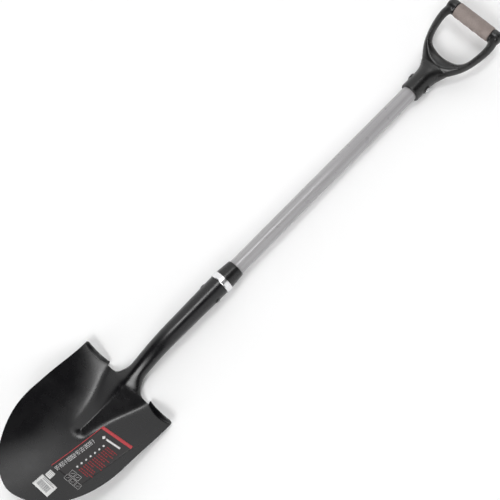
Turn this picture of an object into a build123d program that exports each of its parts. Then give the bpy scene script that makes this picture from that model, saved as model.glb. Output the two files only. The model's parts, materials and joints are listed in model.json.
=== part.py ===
from build123d import *
from math import atan2, cos, degrees, radians, sin
import os

# Round point shovel with a D-handle. Millimetres.
#
# Everything is drawn in the tool frame: +Y runs along the shaft from the blade's point (Y = 0)
# to the top of the D-handle, +Z is the front (hollow) side of the blade and X = 0 is the
# plane of symmetry. The shaft's axis is the line X = 0, Z = 0.
# The finished tool is then laid on its back, on the blade's heel and the handle's neck.

# ---- overall layout along the shaft ----
heel_y = 264                # rear edge of the blade, beside the frog
neck_y = 320                # where the frog has closed into the round socket
socket_mouth_y = 504
sleeve_lip_y = 540
handle_lip_y = 1002
handle_rivet_y = 1028
socket_rivet_y = 475
grip_axis_y = 1182

# ---- blade sheet ----
sheet = 2.0                 # thickness of the pressed steel
blade_half_width = 107.3
point_length = 150          # the pointed part of the outline
outline_power = 1.75        # roundness of the pointed outline
tip_lift = 35               # height of the point above the shaft's axis
frog_tip_y = 143
frog_tip_z = -25
heel_z = -39
dish_at_tip = 0.0020        # curvature across the blade, z = dish * x * x
dish_gain = 0.0007          # added by mid blade
dish_loss = 0.0015          # taken away again towards the flatter heel

# ---- frog, the raised hollow ridge that runs into the socket ----
frog_half_width = 40
frog_power = 0.9
frog_low_height = 3.5       # of the ridge above the dish, near its tip
frog_sweep_y = 180          # from here on the ridge sweeps up to the neck
frog_sweep_height = 20.5    # reached at the heel
frog_sweep_power = 1.6
neck_radius = 17
mouth_radius = 19.7
neck_end_y = 350            # from here on the socket widens evenly to its mouth
axis_end_y = 365            # from here on the socket is in line with the shaft
neck_crest_z = 10
open_wrap = 100             # half angle of metal round the axis, at the heel and at the neck
closed_wrap = 172

# ---- steps, the turned foot rests ----
step_inner_x = 51
step_outer_x = 106.5
step_width = 12.5
step_inner_width = 8
step_outer_width = 5
step_angle = 55
step_sag = 6                # how far the bend line bows towards the point

# ---- shaft, sleeve, ring ----
shaft_radius = 15
shaft_bore_radius = 11
shaft_start_y = 370
shaft_end_y = 1054
core_gap = 0.1
core_length = 120
sleeve_start_y = 410
sleeve_lip_radius = 17.1
ring_width = 12
ring_radius = 21.3
clearance = 0.1

# ---- rivets ----
socket_rivet_radius = 3.2
socket_head_radius = 5.5
socket_head_height = 1.3
handle_rivet_radius = 3.0
handle_head_radius = 4.8
handle_head_height = 1.6
washer_radius = 6.2
washer_height = 0.8

# ---- D-handle ----
lean = 14                   # forward tilt of the D, degrees
lean_y = 1060               # where it starts to lean
yoke_y = 1040               # where the round neck starts to widen
neck_outer_radius = 19.5
boss_radius = 8.5
boss_half_width = 20.9
handle_half_width = 62.5
frame_thickness = 24
frame_rounding = 8
opening_bottom_y = 1095
opening_half_width = 47.5
grip_radius = 14.7
grip_core_radius = 8
grip_half_length = 40.5
hub_radius = 13.2

# ---- labels on the blade ----
film = 0.15
film_lift = 0.05


def smooth(value, low, high):
    """0 below low, 1 above high and an S-curve in between."""
    s = min(max((value - low) / (high - low), 0), 1)
    return s * s * (3 - 2 * s)


# ------------------------------------------------------------------ blade surface

def centre_z(y):
    """Height of the dish along the middle of the blade: a parabola through three heights."""
    drop_frog = (frog_tip_z - tip_lift) / frog_tip_y
    drop_heel = (heel_z - tip_lift) / heel_y
    bend = (drop_heel - drop_frog) / (heel_y - frog_tip_y)
    return tip_lift + (drop_frog - bend * frog_tip_y) * y + bend * y * y


def dish(y):
    return dish_at_tip + dish_gain * smooth(y, 30, 110) - dish_loss * smooth(y, 175, heel_y + 6)


def face_z(x, y):
    """Front face of the blade, without its frog."""
    return centre_z(y) + dish(y) * x * x


def spaced(start, end, count):
    return [start + (end - start) * i / count for i in range(count + 1)]


def sheet_section(low_points, thickness):
    """A thin upright section: a curve through the points and its copy straight above."""
    low = Spline(*low_points)
    top = Spline(*[(x, y, z + thickness) for x, y, z in low_points])
    return make_face(top + low + [Line(top @ 0, low @ 0), Line(top @ 1, low @ 1)])


def dished_sheet():
    """The dished sheet, wider and longer than the blade that is cut from it."""
    sections = []
    for y in spaced(-12, heel_y + 10, 16):
        low = [(x, y, face_z(x, y) - sheet) for x in spaced(-118, 118, 8)]
        sections.append(sheet_section(low, sheet))
    return loft(sections)


def half_width(y):
    """Half width of the pointed end of the outline."""
    s = 1 - min(y / point_length, 1)
    return blade_half_width * (1 - s * s) ** (1 / outline_power)


def bend_line(x):
    """Rear edge of the wing, where the step is turned up."""
    middle = (step_inner_x + step_outer_x) / 2
    reach = (step_outer_x - step_inner_x) / 2
    return heel_y - step_sag * max(0, 1 - ((abs(x) - middle) / reach) ** 2)


def blade_outline():
    """Plan view of the blade: point, parallel sides, rounded corners and heel."""
    ys = [100, 66, 40, 22, 10, 3]
    right = [(half_width(y), y) for y in ys]
    left = [(-x, y) for x, y in reversed(right)]
    start = (blade_half_width, point_length)
    end = (-blade_half_width, point_length)
    point = Spline(start, *right, (0, 0), *left, end, tangents=[(0, -1), (0, 1)])
    corner = 3
    edge = blade_half_width
    heel = Line((edge - corner, heel_y), (corner - edge, heel_y))
    sides = [Line(end, (-edge, heel_y - corner)), Line(start, (edge, heel_y - corner))]
    corners = [
        RadiusArc((edge, heel_y - corner), (edge - corner, heel_y), -corner),
        RadiusArc((-edge, heel_y - corner), (corner - edge, heel_y), corner),
    ]
    return make_face(point + heel + sides + corners)


def prism(face, reach=80):
    """A plan-view face as a tall block, from -reach to reach."""
    return extrude(Pos(0, 0, -reach) * face, 2 * reach, dir=(0, 0, 1))


def bend_cut(side):
    """What the bow of the bend line takes off the wing's rear edge."""
    xs = [side * (step_inner_x + (step_outer_x - step_inner_x) * i / 6) for i in range(7)]
    bow = Spline(*[(x, bend_line(x)) for x in xs])
    box = Polyline(bow @ 0, (xs[0], heel_y + 15), (xs[-1], heel_y + 15), bow @ 1)
    return prism(make_face(bow + box))


def step(side):
    """The turned strip along one wing's rear edge, wider in the middle than at its ends."""
    sections = []
    for i in range(7):
        s = i / 6
        x = side * (step_inner_x + 1 + (step_outer_x - step_inner_x - 2) * s)
        ends = step_inner_width * (1 - s) + step_outer_width * s
        width = ends + (step_width - ends) * (1 - (2 * s - 1) ** 2)
        y = bend_line(x) - sheet
        z = face_z(x, y) - sheet / 2
        along = Vector(0, cos(radians(step_angle)), sin(radians(step_angle)))
        across = Vector(0, sin(radians(step_angle)), -cos(radians(step_angle)))
        a = Vector(x, y, z) - across * (sheet / 2)
        b = a + along * (width + 1)
        c = b + across * sheet
        d = a + across * sheet
        sections.append(make_face(Polyline(a, b, c, d, close=True)))
    return loft(sections)


# ------------------------------------------------------------------ frog and socket

def bell_half_width(y):
    s = max(y - frog_tip_y + 5, 0) / (heel_y - frog_tip_y + 5)
    return frog_half_width * min(s, 1) ** frog_power


def socket_radius(y):
    s = max(y - neck_end_y, 0) / (socket_mouth_y - neck_end_y)
    return neck_radius + (mouth_radius - neck_radius) * s


def crest_z(y):
    """Top of the frog, low near its tip, then swept up into the top of the socket."""
    rise = max(y - frog_sweep_y, 0) / (heel_y - frog_sweep_y)
    frog = centre_z(y) + frog_low_height + frog_sweep_height * rise ** frog_sweep_power
    back = max(axis_end_y - y, 0) / (axis_end_y - neck_y)
    socket = socket_radius(y) - (neck_radius - neck_crest_z) * back * back
    m = smooth(y, neck_y - 35, neck_y)
    return frog * (1 - m) + socket * m


def arch_point(s, y, inset):
    """A point of the section at y, s = -1..1 from foot to foot, inset inwards."""
    width = bell_half_width(y) - 1.4 * inset
    foot = face_z(bell_half_width(y), y) - sheet / 2
    height = crest_z(y) - inset - foot
    bell = (width * s, foot + height * (1 - s * s) ** 2)
    radius = socket_radius(y) - inset
    wrap = open_wrap + (closed_wrap - open_wrap) * smooth(y, heel_y, neck_y)
    turn = radians(wrap) * s
    ring = (radius * sin(turn), crest_z(y) - inset - radius + radius * cos(turn))
    m = smooth(y, heel_y - 6, heel_y + 36)
    return (bell[0] * (1 - m) + ring[0] * m, y, bell[1] * (1 - m) + ring[1] * m)


def arch_loft(inset, stations, drop=0):
    """The frog or socket as a solid. With a drop its open underside reaches that much lower."""
    sections = []
    for y in stations:
        arch = Spline(*[arch_point(i / 7, y, inset) for i in range(-7, 8)])
        down = Vector(0, 0, drop)
        if drop:
            base = Polyline(arch @ 0, arch @ 0 - down, arch @ 1 - down, arch @ 1)
        else:
            base = Line(arch @ 0, arch @ 1)
        sections.append(make_face(arch + base))
    return loft(sections)


def make_blade():
    """One pressed sheet: dished blade, hollow frog, rolled open-seam socket and both steps."""
    solid = dished_sheet() & prism(blade_outline())
    for side in (-1, 1):
        solid -= bend_cut(side)
        solid += step(side)
    solid += arch_loft(0, spaced(frog_tip_y + 7, axis_end_y, 13))
    solid += arch_loft(0, [axis_end_y, socket_mouth_y])
    solid -= arch_loft(sheet, spaced(frog_tip_y + 20, axis_end_y, 13), drop=7)
    solid -= arch_loft(sheet, [axis_end_y, socket_mouth_y], drop=7)
    return solid - cross_hole(socket_rivet_y, socket_rivet_radius + clearance)


# ------------------------------------------------------------------ round pieces

def turned(*points):
    """A solid of revolution about the shaft's axis from (radius, y) points."""
    profile = make_face(Polyline(*points, close=True))
    return revolve(profile, Axis.Y)


def cross_hole(y, radius, length=80):
    """A cylinder across the shaft, along X."""
    return Pos(0, y, 0) * Rot(0, 90, 0) * Cylinder(radius, length)


def make_shaft():
    tube = turned(
        (shaft_bore_radius, shaft_start_y), (shaft_radius, shaft_start_y),
        (shaft_radius, shaft_end_y), (shaft_bore_radius, shaft_end_y),
    )
    tube -= cross_hole(socket_rivet_y, socket_rivet_radius + clearance)
    return tube - cross_hole(handle_rivet_y, handle_rivet_radius + clearance)


def make_core(start, end, rivet_y, rivet_radius):
    radius = shaft_bore_radius - core_gap
    core = turned((0, start), (radius, start), (radius, end), (0, end))
    return core - cross_hole(rivet_y, rivet_radius + clearance)


def make_sleeve():
    """Black tapered bush between shaft and socket, its lip showing above the ring."""
    bore = shaft_radius + clearance / 2
    inner_start = socket_radius(sleeve_start_y) - sheet - clearance
    inner_mouth = socket_radius(socket_mouth_y) - sheet - clearance
    seat = socket_mouth_y + clearance
    sleeve = turned(
        (bore, sleeve_start_y), (inner_start, sleeve_start_y), (inner_mouth, seat),
        (mouth_radius, seat), (mouth_radius, seat + 8), (sleeve_lip_radius, sleeve_lip_y - 1.5),
        (sleeve_lip_radius - 1.5, sleeve_lip_y), (bore, sleeve_lip_y),
    )
    return sleeve - cross_hole(socket_rivet_y, socket_rivet_radius + clearance)


def make_ring():
    bore = mouth_radius + clearance
    low = socket_mouth_y - ring_width / 2
    high = socket_mouth_y + ring_width / 2
    return turned(
        (bore, low), (ring_radius - 0.8, low), (ring_radius, low + 0.8),
        (ring_radius, high - 0.8), (ring_radius - 0.8, high), (bore, high),
    )


def domed_rivet(y, radius, head_radius, head_height, seat):
    """A rivet along X with a low domed head at each end, its heads seated at -seat and seat."""
    head = Cylinder(head_radius, head_height)
    head = fillet(head.edges().sort_by(Axis.Z)[-1], 0.9 * head_height)
    top = Pos(0, 0, seat + head_height / 2) * head
    body = Cylinder(radius, 2 * seat + 1) + top + Rot(180, 0, 0) * top
    return Pos(0, y, 0) * Rot(0, 90, 0) * body


def make_socket_rivet():
    seat = socket_radius(socket_rivet_y) + clearance
    return domed_rivet(socket_rivet_y, socket_rivet_radius, socket_head_radius,
                       socket_head_height, seat)


def make_handle_rivet():
    seat = boss_half_width + washer_height + 0.1
    return domed_rivet(handle_rivet_y, handle_rivet_radius, handle_head_radius,
                       handle_head_height, seat)


def make_washers():
    ring = Cylinder(washer_radius, washer_height) - Cylinder(handle_rivet_radius + clearance, 5)
    offset = boss_half_width + washer_height / 2 + 0.05
    return Compound([Pos(x, handle_rivet_y, 0) * Rot(0, 90, 0) * ring for x in (-offset, offset)])


# ------------------------------------------------------------------ D-handle

def leaning(solid):
    """Tilts a piece of the D forward about the top of its neck."""
    return Pos(0, lean_y, 0) * Rot(lean, 0, 0) * Pos(0, -lean_y, 0) * solid


def d_outline():
    """Outer outline of the D, from one side of the neck round the grip to the other."""
    shoulder = handle_half_width
    corner = 15
    right = [(20.5, 1048), (26, 1064), (37.3, 1081), (47, 1098), (54.6, 1116), (60.2, 1140)]
    rise = Spline(*right, (shoulder, 1165), tangents=[(0.5, 1), (0, 1)])
    fall = Spline(*[(-x, y) for x, y in right], (-shoulder, 1165), tangents=[(-0.5, 1), (0, 1)])
    top = grip_axis_y + hub_radius
    sides = [Line((x, 1165), (x, top - corner)) for x in (-shoulder, shoulder)]
    corners = [
        RadiusArc((shoulder, top - corner), (shoulder - corner, top), -corner),
        RadiusArc((-shoulder, top - corner), (corner - shoulder, top), corner),
    ]
    base = Line((-20.5, 1048), (20.5, 1048))
    crown = Line((corner - shoulder, top), (shoulder - corner, top))
    return make_face(rise + fall + sides + corners + base + crown)


def hand_opening():
    """Outline of the hand gap, a rounded D below the grip."""
    wide = opening_half_width
    right = [(0, opening_bottom_y), (21, opening_bottom_y + 3.5), (33, opening_bottom_y + 9.5),
             (41.5, opening_bottom_y + 22)]
    rise = Spline(*right, (wide, 1150), tangents=[(1, 0), (0, 1)])
    fall = Spline(*[(-x, y) for x, y in right], (-wide, 1150), tangents=[(-1, 0), (0, 1)])
    cap = Polyline((wide, 1150), (wide, 1162), (-wide, 1162), (-wide, 1150))
    return make_face(rise + fall + cap)


def make_handle_frame():
    """The moulded D: neck, bosses, yoke, both arms and the bar that carries the grip."""
    plate = prism(d_outline(), frame_thickness / 2)
    plate = fillet(plate.edges().filter_by(GeomType.LINE, reverse=True), frame_rounding * 0.5)
    gap = prism(hand_opening(), 30)
    bay = Pos(0, grip_axis_y, 0) * Box(2 * (grip_half_length + 0.3), 60, 60)
    frame = plate - gap - bay
    frame += Pos(0, grip_axis_y, 0) * Rot(0, 90, 0) * Cylinder(
        grip_core_radius, 2 * handle_half_width - 12)
    frame = leaning(frame)
    yoke = loft([
        Pos(0, yoke_y - 4, 0) * Rot(-90, 0, 0) * Circle(neck_outer_radius),
        Pos(0, lean_y, 0) * Rot(-90, 0, 0) * Ellipse(neck_outer_radius + 4.5, 16.5),
        Pos(0, lean_y + 30, 7) * Rot(-90, 0, 0) * Ellipse(neck_outer_radius + 18, 9.5),
    ])
    neck = turned((0, handle_lip_y), (neck_outer_radius - 1, handle_lip_y),
                  (neck_outer_radius, handle_lip_y + 1.5), (neck_outer_radius, yoke_y),
                  (0, yoke_y))
    frame += neck + yoke
    frame += cross_hole(handle_rivet_y, boss_radius, 2 * boss_half_width)
    bore = turned((0, handle_lip_y - 1), (shaft_radius + clearance, handle_lip_y - 1),
                  (shaft_radius + clearance, shaft_end_y + 1), (0, shaft_end_y + 1))
    frame -= bore
    return frame - cross_hole(handle_rivet_y, handle_rivet_radius + clearance)


def make_grip():
    """Soft sleeve on the bar."""
    tube = Cylinder(grip_radius, 2 * grip_half_length)
    tube = fillet(tube.edges(), 2)
    tube -= Cylinder(grip_core_radius + clearance, 200)
    return leaning(Pos(0, grip_axis_y, 0) * Rot(0, 90, 0) * tube)


# ------------------------------------------------------------------ labels

def make_film(corners):
    """A thin film on the blade's face. The corners go round from its low left one."""
    a, b, c, d = [Vector(x, y) for x, y in corners]
    sections = []
    for v in spaced(0, 1, 6):
        left = a + (d - a) * v
        right = b + (c - b) * v
        line = [left + (right - left) * u for u in spaced(0, 1, 6)]
        low = [(p.X, p.Y, face_z(p.X, p.Y) + film_lift) for p in line]
        sections.append(sheet_section(low, film))
    return loft(sections)


def sticker_corners(centre, along, across, turn):
    """Corners of a turned rectangle in plan view."""
    c, s = cos(radians(turn)), sin(radians(turn))
    local = [(-1, -1), (1, -1), (1, 1), (-1, 1)]
    pairs = [(u * across / 2, v * along / 2) for u, v in local]
    return [(centre[0] + u * c - v * s, centre[1] + u * s + v * c) for u, v in pairs]


label_corners = [(14, 78), (76, 84), (90, 192), (20, 183)]
barcode_corners = sticker_corners((36, 48), 22.5, 34, 3)
square_corners = sticker_corners((27, 67), 12, 12, 3)


# ------------------------------------------------------------------ assembly

def lying(solid):
    """Lays the tool on its back: the heel and the end of the handle's neck on the ground."""
    low_heel = face_z(frog_half_width, heel_y) - sheet
    slope = atan2(-neck_outer_radius - low_heel, yoke_y - heel_y)
    return Rot(-degrees(slope), 0, 0) * solid


nodes = {
    "blade": make_blade(),
    "shaft": make_shaft(),
    "lower_core": make_core(shaft_start_y + 2, shaft_start_y + 2 + core_length,
                            socket_rivet_y, socket_rivet_radius),
    "upper_core": make_core(shaft_end_y - 2 - core_length, shaft_end_y - 2,
                            handle_rivet_y, handle_rivet_radius),
    "socket_sleeve": make_sleeve(),
    "clamp_ring": make_ring(),
    "socket_rivet": make_socket_rivet(),
    "handle_frame": make_handle_frame(),
    "grip_sleeve": make_grip(),
    "handle_rivet": make_handle_rivet(),
    "handle_rivet_washers": make_washers(),
    "printed_label": make_film(label_corners),
    "barcode_sticker": make_film(barcode_corners),
    "square_sticker": make_film(square_corners),
}

laid = {name: lying(solid) for name, solid in nodes.items()}
box = Compound(list(laid.values())).bounding_box()
ground = Pos(-(box.min.X + box.max.X) / 2, -(box.min.Y + box.max.Y) / 2, -box.min.Z)

os.makedirs("parts", exist_ok=True)
for name, solid in laid.items():
    export_step(ground * solid, f"parts/{name}.step")
print("tool frame to row frame, shift", ground.position, "size", box.size)
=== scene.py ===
import json
import math
import random

import bpy
from mathutils import Matrix, Vector


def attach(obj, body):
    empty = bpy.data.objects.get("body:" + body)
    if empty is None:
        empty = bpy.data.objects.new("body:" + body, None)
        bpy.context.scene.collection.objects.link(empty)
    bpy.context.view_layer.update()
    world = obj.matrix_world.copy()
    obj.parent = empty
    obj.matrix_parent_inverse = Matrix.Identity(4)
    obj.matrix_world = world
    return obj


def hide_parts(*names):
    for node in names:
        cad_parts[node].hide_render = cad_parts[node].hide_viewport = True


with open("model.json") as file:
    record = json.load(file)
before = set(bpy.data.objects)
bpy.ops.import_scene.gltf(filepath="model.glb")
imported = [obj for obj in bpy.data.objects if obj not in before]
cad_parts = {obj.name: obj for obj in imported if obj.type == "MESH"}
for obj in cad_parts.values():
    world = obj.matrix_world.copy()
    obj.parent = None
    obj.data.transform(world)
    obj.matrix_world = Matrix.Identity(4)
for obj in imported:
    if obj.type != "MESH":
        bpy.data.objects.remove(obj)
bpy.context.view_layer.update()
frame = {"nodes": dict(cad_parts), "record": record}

# A round point shovel with a D-handle, lying on its back.
# Shapes are written in millimetres in the tool's own frame: X to the right, Y from the
# blade's point along the shaft, Z out of the front (hollow) side, the shaft's axis at X = Z = 0.
# place() turns them into the row's frame, which is read from the rack clip's mount.

MM = 0.001
CLIP_Y = 771                # the clip's mount is this far from the blade's point
BODY = "root"

clip = next(m for m in frame["record"]["mounts"] if m["name"] == "rack_clip")
ALONG = Vector(clip["axis"]).normalized()
ACROSS = Vector((1, 0, 0))
FRONT = ACROSS.cross(ALONG)
ORIGIN = Vector(clip["pos_m"]) - ALONG * (CLIP_Y * MM)

# ---- blade ----
HEEL_Y = 264
POINT_LENGTH = 150
BLADE_HALF_WIDTH = 106.3
OUTLINE_POWER = 1.75        # roundness of the pointed outline
TIP_LIFT = 35               # height of the point above the shaft's axis
FROG_TIP_Y = 143            # where the middle one of the dish's three heights is given
FROG_TIP_Z = -25
HEEL_Z = -39.6
DISH_AT_TIP = 0.0020        # curvature across the blade, z = dish * x * x
DISH_GAIN = 0.0007          # added by mid blade
DISH_LOSS = 0.0015          # taken away again towards the flatter heel
SHEET = 2.0
TIP_TRIM = 0.9              # keeps the underside of the point at Y = 0

# ---- frog and socket ----
FROG_NOSE_Y = 139.5
FROG_HALF_WIDTH = 39.5
FROG_TIP_RADIUS = 13.5      # of the frog's nose, in plan
FROG_LOW_HEIGHT = 5.5       # of its crest above the dish, at the nose
FROG_SWEEP_HEIGHT = 18.5    # added by the heel
FROG_SWEEP_POWER = 1.35
SHARP_CREST = 1.2           # radius of the crest near the nose
ROUND_CREST = 9.0           # and at the heel
FILLET = 2.6                # softness of the foot of the frog's flanks
NECK_Y = 320                # where the metal has closed round the socket
NECK_END_Y = 350            # from here on the socket widens evenly to its mouth
AXIS_END_Y = 385            # from here on it is in line with the shaft
MOUTH_Y = 504
NECK_RADIUS = 17
MOUTH_RADIUS = 19.7
NECK_SLOPE = 0.5            # how steeply the crest leaves the heel
OPEN_WRAP = 100             # half angle of metal round the axis, at the heel
CLOSED_WRAP = 172           # and at the neck
CURL_RADIUS = 29            # the sheet's edge turns from heel to neck in about this length

# ---- steps ----
STEP_INNER_X = 51
STEP_OUTER_X = 106
STEP_ANGLE = 50             # how far the strip is turned up, degrees
STEP_SAG = 6                # how far the bend line bows towards the point
STEP_BEND = 3.0             # radius of the bend
STEP_WIDTH = 13             # in the middle of the step
STEP_INNER_WIDTH = 7.5
STEP_OUTER_WIDTH = 6.5

# ---- shaft and rivets ----
SHAFT_RADIUS = 15
SHAFT_BORE = 11
SHAFT_START_Y = 370
SHAFT_END_Y = 1054
SLEEVE_START_Y = 410
SLEEVE_LIP_Y = 540
RING_HALF_WIDTH = 6
RING_BORE = 19.8
RING_RADIUS = 21.3
SOCKET_RIVET_Y = 475
SOCKET_PIN_RADIUS = 3.2
SOCKET_HEAD_RADIUS = 5.5
SOCKET_HEAD_HEIGHT = 1.2
RIVET_Y = 1028
HANDLE_PIN_RADIUS = 3.0
HANDLE_HEAD_RADIUS = 4.8
HANDLE_HEAD_HEIGHT = 1.6
BOSS_HALF_WIDTH = 20.9
WASHER_BORE = 3.1
WASHER_RADIUS = 6.2
WASHER_HEIGHT = 0.8
GAP = 0.05                  # between pieces that are pressed together

# ---- handle ----
LIP_Y = 1002
LEAN = 14                   # forward tilt of the D, degrees
LEAN_Y = 1060               # where it starts to lean
GRIP_Y = 1182
GRIP_RADIUS = 14.75
GRIP_HALF_LENGTH = 40.5


def place(x, y, z):
    """From the tool's frame in millimetres to the row's frame in metres."""
    return ORIGIN + (ACROSS * x + ALONG * y + FRONT * z) * MM


def smooth(value, low, high):
    """0 below low, 1 above high and an S-curve in between."""
    s = min(max((value - low) / (high - low), 0), 1)
    return s * s * (3 - 2 * s)


def mix(a, b, t):
    return a + (b - a) * t


# ------------------------------------------------------------------ mesh helpers

def new_piece(name, points, faces, material, replaces=()):
    """A mesh from tool-frame points, riding on the one body."""
    mesh = bpy.data.meshes.new(name)
    mesh.from_pydata([place(*p) for p in points], [], faces)
    mesh.update()
    for polygon in mesh.polygons:
        polygon.use_smooth = True
    piece = bpy.data.objects.new(name, mesh)
    bpy.context.scene.collection.objects.link(piece)
    mesh.materials.append(material)
    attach(piece, BODY)
    if replaces:
        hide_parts(*replaces)
    return piece


def grid_faces(rows, cols, closed_cols=False, closed_rows=False):
    """Quads between the points of rows that each hold cols points."""
    faces = []
    for i in range(rows if closed_rows else rows - 1):
        for j in range(cols if closed_cols else cols - 1):
            a = i * cols + j
            b = i * cols + (j + 1) % cols
            c = ((i + 1) % rows) * cols + (j + 1) % cols
            d = ((i + 1) % rows) * cols + j
            faces.append((a, b, c, d))
    return faces


def add_modifier(piece, kind, **settings):
    modifier = piece.modifiers.new(kind.lower(), kind)
    for key, value in settings.items():
        setattr(modifier, key, value)
    return modifier


def bevel(piece, width, segments=3, angle=40):
    add_modifier(piece, "BEVEL", width=width * MM, segments=segments, limit_method="ANGLE",
                 angle_limit=math.radians(angle), harden_normals=False)


def apply_modifiers(piece):
    """Replaces the piece's mesh by what its modifiers make of it."""
    depsgraph = bpy.context.evaluated_depsgraph_get()
    mesh = bpy.data.meshes.new_from_object(piece.evaluated_get(depsgraph))
    piece.modifiers.clear()
    old = piece.data
    piece.data = mesh
    bpy.data.meshes.remove(old)


def lathe_points(profile, axis_point, segments):
    """Turns (radius, height) points about the axis that axis_point maps from."""
    points = []
    for r, h in profile:
        for k in range(segments):
            turn = 2 * math.pi * k / segments
            points.append(axis_point(r * math.cos(turn), r * math.sin(turn), h))
    return points


def along_shaft(u, v, h):
    """For lathe_points: heights run along the shaft's axis."""
    return (u, h, v)


def rounded_profile(corners, radius, steps=4):
    """A closed polygon of (radius, height) corners with each corner rounded."""
    result = []
    count = len(corners)
    for i in range(count):
        before, here, after = (Vector(corners[(i + k) % count]) for k in (-1, 0, 1))
        a = before - here
        b = after - here
        cut = min(radius, a.length * 0.45, b.length * 0.45)
        start = here + a.normalized() * cut
        end = here + b.normalized() * cut
        for k in range(steps + 1):
            t = k / steps
            result.append(tuple((start * (1 - t) + here * t) * (1 - t)
                                + (here * (1 - t) + end * t) * t))
    return result


def ring_piece(name, corners, radius, material, replaces=()):
    """A solid of revolution about the shaft from a closed profile."""
    segments = 96
    profile = rounded_profile(corners, radius)
    points = lathe_points(profile, along_shaft, segments)
    faces = grid_faces(len(profile), segments, closed_cols=True, closed_rows=True)
    return new_piece(name, points, faces, material, replaces)


# ------------------------------------------------------------------ materials

class Nodes:
    """A short way to build a procedural material."""

    def __init__(self, name):
        self.material = bpy.data.materials.new(name)
        self.material.use_nodes = True
        self.tree = self.material.node_tree
        self.shader = self.tree.nodes["Principled BSDF"]
        self.coords = self.tree.nodes.new("ShaderNodeTexCoord").outputs["Object"]

    def node(self, kind, links=(), **settings):
        node = self.tree.nodes.new(kind)
        for key, value in settings.items():
            if key in node.inputs:
                node.inputs[key].default_value = value
            else:
                setattr(node, key, value)
        for socket, source in dict(links).items():
            self.tree.links.new(source, node.inputs[socket])
        return node

    def stretched(self, scale):
        mapping = self.node("ShaderNodeMapping", {"Vector": self.coords}, Scale=scale)
        return mapping.outputs["Vector"]

    def noise(self, scale, detail=4, vector=None, roughness=0.55):
        node = self.node("ShaderNodeTexNoise", {"Vector": vector or self.coords},
                         Scale=scale, Detail=detail, Roughness=roughness)
        return node.outputs["Fac"]

    def ramp(self, source, stops):
        """stops are (place, colour) with colour a number or three numbers."""
        node = self.node("ShaderNodeValToRGB", {"Fac": source})
        ramp = node.color_ramp
        while len(ramp.elements) < len(stops):
            ramp.elements.new(0.5)
        for element, (where, colour) in zip(ramp.elements, stops):
            element.position = where
            three = colour if isinstance(colour, tuple) else (colour,) * 3
            element.color = (*three, 1)
        return node.outputs["Color"]

    def blend(self, factor, a, b, kind="MIX"):
        node = self.node("ShaderNodeMix", data_type="RGBA", blend_type=kind)
        for socket, value in ((node.inputs[0], factor), (node.inputs[6], a), (node.inputs[7], b)):
            if isinstance(value, bpy.types.NodeSocket):
                self.tree.links.new(value, socket)
            elif isinstance(value, tuple):
                socket.default_value = (*value, 1)
            else:
                socket.default_value = value
        return node.outputs[2]

    def link(self, source, socket):
        self.tree.links.new(source, self.shader.inputs[socket])

    def set(self, **values):
        for key, value in values.items():
            self.shader.inputs[key.replace("_", " ")].default_value = value

    def bump(self, heights, strength, distance):
        """Bumps from several heights, laid one on another."""
        normal = None
        for height in heights:
            links = {"Height": height}
            if normal:
                links["Normal"] = normal
            node = self.node("ShaderNodeBump", links, Strength=strength, Distance=distance)
            normal = node.outputs["Normal"]
        self.link(normal, "Normal")


def black_paint():
    """Semi-gloss black powder coat on steel: orange peel, faint dust and rubbed patches."""
    n = Nodes("black_powder_coat")
    cloud = n.noise(9, 5)
    fine = n.noise(420, 3)
    peel = n.noise(1500, 2)
    base = n.ramp(cloud, [(0.3, (0.0016, 0.0016, 0.0022)), (0.75, (0.0038, 0.0035, 0.0045))])
    dust = n.ramp(fine, [(0.55, 0.0), (0.75, 0.3)])
    n.link(n.blend(dust, base, (0.012, 0.012, 0.0135)), "Base Color")
    rough = n.ramp(n.noise(28, 6), [(0.3, 0.22), (0.7, 0.32)])
    n.link(rough, "Roughness")
    n.bump([peel, fine], 0.08, 0.0002)
    n.set(Coat_Weight=0.1, Coat_Roughness=0.2, Specular_IOR_Level=0.5)
    return n.material


def grey_fibreglass():
    """Pultruded fibreglass: fibres along the shaft under a satin skin, with fine specks."""
    n = Nodes("grey_fibreglass")
    fibres = n.noise(260, 4, n.stretched((1, 0.012, 1)))
    strands = n.noise(900, 3, n.stretched((1, 0.02, 1)))
    specks = n.noise(1400, 2)
    base = n.ramp(fibres, [(0.3, (0.30, 0.292, 0.30)), (0.7, (0.38, 0.372, 0.38))])
    mottled = n.blend(n.ramp(specks, [(0.45, 0.0), (0.72, 0.5)]), base, (0.22, 0.215, 0.22))
    n.link(mottled, "Base Color")
    n.link(n.ramp(n.noise(60, 4), [(0.3, 0.26), (0.7, 0.36)]), "Roughness")
    n.bump([strands, specks], 0.16, 0.0002)
    n.set(Coat_Weight=0.5, Coat_Roughness=0.2)
    return n.material


def black_plastic(name="black_plastic", shade=0.0055, grain=1100):
    """Moulded plastic with a fine spark-eroded grain."""
    n = Nodes(name)
    cloud = n.noise(22, 4)
    low = (shade * 0.85, shade * 0.85, shade * 0.87)
    high = (shade * 1.3, shade * 1.28, shade * 1.3)
    n.link(n.ramp(cloud, [(0.3, low), (0.7, high)]), "Base Color")
    n.link(n.ramp(n.noise(55, 5), [(0.3, 0.24), (0.7, 0.34)]), "Roughness")
    n.bump([n.noise(grain, 3), n.noise(grain / 4, 2)], 0.16, 0.0002)
    n.set(Specular_IOR_Level=0.5)
    return n.material


def bright_metal(name, colour, rough, streak=(1, 60, 1), relief=0.08):
    """Polished metal with faint turning marks."""
    n = Nodes(name)
    marks = n.noise(40, 5, n.stretched(streak))
    n.link(n.ramp(marks, [(0.3, tuple(c * 0.88 for c in colour)), (0.7, colour)]), "Base Color")
    n.link(n.ramp(n.noise(120, 5), [(0.3, rough), (0.7, rough * 1.8)]), "Roughness")
    n.bump([marks], relief, 0.0001)
    n.set(Metallic=1.0)
    return n.material


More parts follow.
